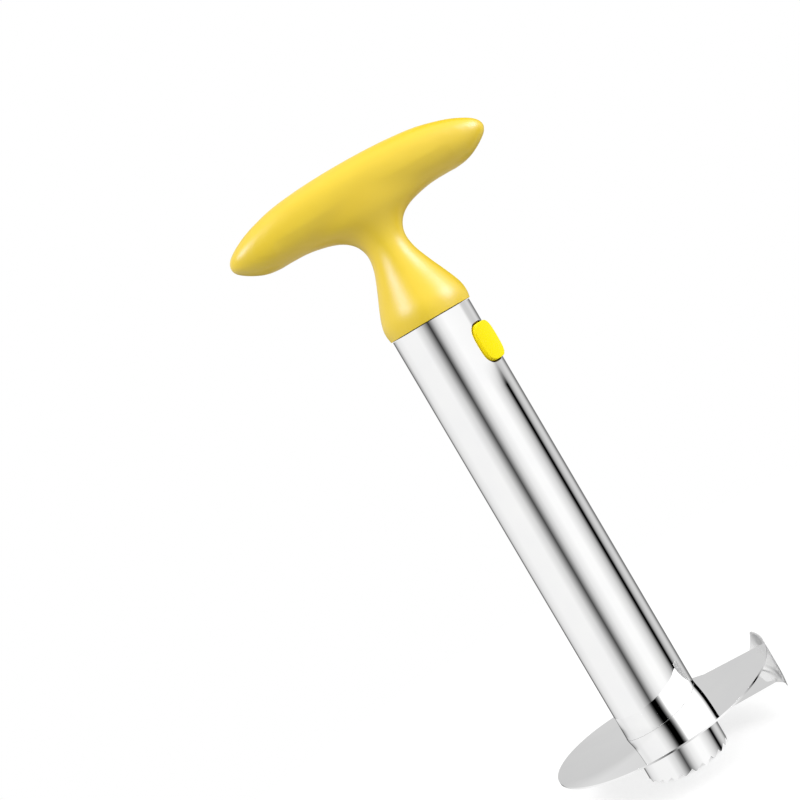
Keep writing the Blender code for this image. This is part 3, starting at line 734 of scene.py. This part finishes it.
print("stage")
stageForm = {
    "floorSize": 3.0, "floorColour": (0.9, 0.9, 0.9), "floorRough": 0.9, "floorGlow": 1.22,
    "shadowShare": 0.45, "shadowNear": 0.12, "shadowFar": 0.35,
    "wallRadius": 0.9, "wallLow": -1.2, "wallHigh": 2.6, "wallSteps": 96,
    # brightness round the studio, by degrees to the right of the camera. Low down and half way up there
    # are gaps beside the camera, behind on the left and behind on the right, low down also one far right
    "low": ((-180, 0.67), (-170, 0.62), (-165, 0.16), (-156, 0.12), (-150, 0.46), (-144, 0.66),
            (-128, 0.84), (-100, 0.97), (-50, 0.98), (-30, 0.72), (-18, 0.32), (-10, 0.06), (-4, 0.30),
            (4, 0.63), (14, 0.87), (32, 1.05), (50, 1.05), (72, 0.75), (84, 0.46), (90.5, 0.16),
            (94.5, 0.0), (100.5, 0.0), (103, 0.15), (107, 0.38), (114, 0.57), (123, 0.70), (134, 0.66),
            (143, 0.42), (150, 0.22), (163, 0.16), (169, 0.60), (180, 0.67)),
    "middle": ((-180, 0.67), (-170, 0.62), (-165, 0.16), (-156, 0.12), (-149, 0.40), (-140, 0.60),
               (-128, 0.84), (-100, 0.97), (-50, 0.98), (-30, 0.66), (-18, 0.28), (-10, 0.03), (-4, 0.26),
               (4, 0.62), (14, 0.87), (32, 1.05), (90, 1.0), (100, 0.68), (112, 0.64), (130, 0.74),
               (142, 0.50), (150, 0.24), (163, 0.18), (169, 0.60), (180, 0.67)),
    # overhead deep gaps above the camera and behind on the right, and a fainter one behind on the left
    "high": ((-180, 0.67), (-170, 0.80), (-164, 0.34), (-159, 0.34), (-154, 0.86), (-145, 0.92),
             (-120, 0.90), (-105, 1.0), (-50, 1.03), (-38, 0.86), (-29, 0.60), (-22, 0.33), (-16, 0.06),
             (-12, 0.0), (1, 0.0), (6, 0.20), (11, 0.60), (16, 1.3), (116, 1.3), (130, 0.5), (134, 0.0),
             (162, 0.0), (168, 0.66), (180, 0.67)),
    "lowToMiddle": (0.094, 0.124), "middleToHigh": (0.20, 0.24),
}


def buildFloor():
    form = stageForm
    bm = bmesh.new()
    bmesh.ops.create_grid(bm, x_segments=1, y_segments=1, size=form["floorSize"])
    material, tree, shader, place = startMaterial("paperFloor")
    shader.inputs["Base Color"].default_value = (*form["floorColour"], 1)
    shader.inputs["Roughness"].default_value = form["floorRough"]
    shader.inputs["Specular IOR Level"].default_value = 0.0
    # the camera sees plain white paper, with the shadow only near the tool
    reach = addLength(tree, place.outputs["Object"])
    fade = addRange(tree, reach, 1 - form["shadowShare"], 1.0, form["shadowNear"], form["shadowFar"])
    level = addRange(tree, fade, form["floorGlow"], 1.0, 1 - form["shadowShare"], 1.0)
    glow = tree.nodes.new("ShaderNodeEmission")
    tree.links.new(level, glow.inputs["Strength"])
    path = tree.nodes.new("ShaderNodeLightPath")
    share = addMath(tree, "MULTIPLY", path.outputs["Is Camera Ray"], fade)
    mix = tree.nodes.new("ShaderNodeMixShader")
    tree.links.new(share, mix.inputs["Fac"])
    tree.links.new(shader.outputs["BSDF"], mix.inputs[1])
    tree.links.new(glow.outputs["Emission"], mix.inputs[2])
    tree.links.new(mix.outputs["Shader"], tree.nodes["Material Output"].inputs["Surface"])
    floor = newPiece("paperFloor", bm, material)
    floor.visible_glossy = False
    floor.visible_diffuse = False


def buildDrum():
    # a drum of pale card with dark gaps, which only gloss and polish see
    form = stageForm
    bm = bmesh.new()
    foot = bm.verts.new((form["wallRadius"], 0, form["wallLow"]))
    head = bm.verts.new((form["wallRadius"], 0, form["wallHigh"]))
    post = bm.edges.new((foot, head))
    bmesh.ops.spin(bm, geom=[foot, head, post], cent=(0, 0, 0), axis=(0, 0, 1), angle=2 * math.pi,
                   steps=form["wallSteps"], use_merge=True)
    material, tree, shader, place = startMaterial("studioDrum")
    tree.nodes.remove(shader)
    mapping = tree.nodes.new("ShaderNodeMapping")
    mapping.inputs["Rotation"].default_value = (0, 0, math.radians(90))
    radial = tree.nodes.new("ShaderNodeTexGradient")
    radial.gradient_type = "RADIAL"
    tree.links.new(place.outputs["Object"], mapping.inputs["Vector"])
    tree.links.new(mapping.outputs["Vector"], radial.inputs["Vector"])
    split = tree.nodes.new("ShaderNodeSeparateXYZ")
    tree.links.new(place.outputs["Object"], split.inputs["Vector"])
    low, middle, high = [
        addRamp(tree, radial.outputs["Fac"],
                [((degrees + 180) / 360, (value,) * 3) for degrees, value in form[band]])
        for band in ("low", "middle", "high")]
    toMiddle, toHigh = [addRange(tree, split.outputs["Z"], 0.0, 1.0, *form[change])
                        for change in ("lowToMiddle", "middleToHigh")]
    shade = addMix(tree, toHigh, addMix(tree, toMiddle, low, middle), high)
    glow = tree.nodes.new("ShaderNodeEmission")
    tree.links.new(shade, glow.inputs["Color"])
    tree.links.new(glow.outputs["Emission"], tree.nodes["Material Output"].inputs["Surface"])
    drum = newPiece("studioDrum", bm, material)
    drum.visible_camera = False
    drum.visible_diffuse = False
    drum.visible_shadow = False
    drum.visible_transmission = False


lightForm = {
    "worldLevel": 0.50, "aim": (0, 0, 0.17),
    # name, place, size and power
    "lamps": (("keyLamp", (-0.54, -0.50, 0.88), 0.46, 5.8), ("sideLamp", (0.80, -0.16, 0.56), 0.46, 5.6)),
}


def buildLight():
    form = lightForm
    world = bpy.data.worlds.new("paleStudio")
    scene.world = world
    world.use_nodes = True
    tree = world.node_tree
    ground = tree.nodes["Background"]
    # white where it is seen, dimmer as light
    path = tree.nodes.new("ShaderNodeLightPath")
    direct = addMath(tree, "MAXIMUM", path.outputs["Is Camera Ray"], path.outputs["Is Glossy Ray"])
    seen = addMath(tree, "MAXIMUM", direct, path.outputs["Is Transmission Ray"])
    tree.links.new(addRange(tree, seen, form["worldLevel"], 1.0, 0.0, 1.0), ground.inputs["Strength"])
    ground.inputs["Color"].default_value = (1, 1, 1, 1)
    for name, place, size, power in form["lamps"]:
        data = bpy.data.lights.new(name, "AREA")
        data.shape = "SQUARE"
        data.size = size
        data.energy = power
        lamp = bpy.data.objects.new(name, data)
        scene.collection.objects.link(lamp)
        lamp.location = place
        lamp.rotation_mode = "QUATERNION"
        lamp.rotation_quaternion = (Vector(form["aim"]) - Vector(place)).to_track_quat("-Z", "Y")


buildFloor()
buildDrum()
buildLight()
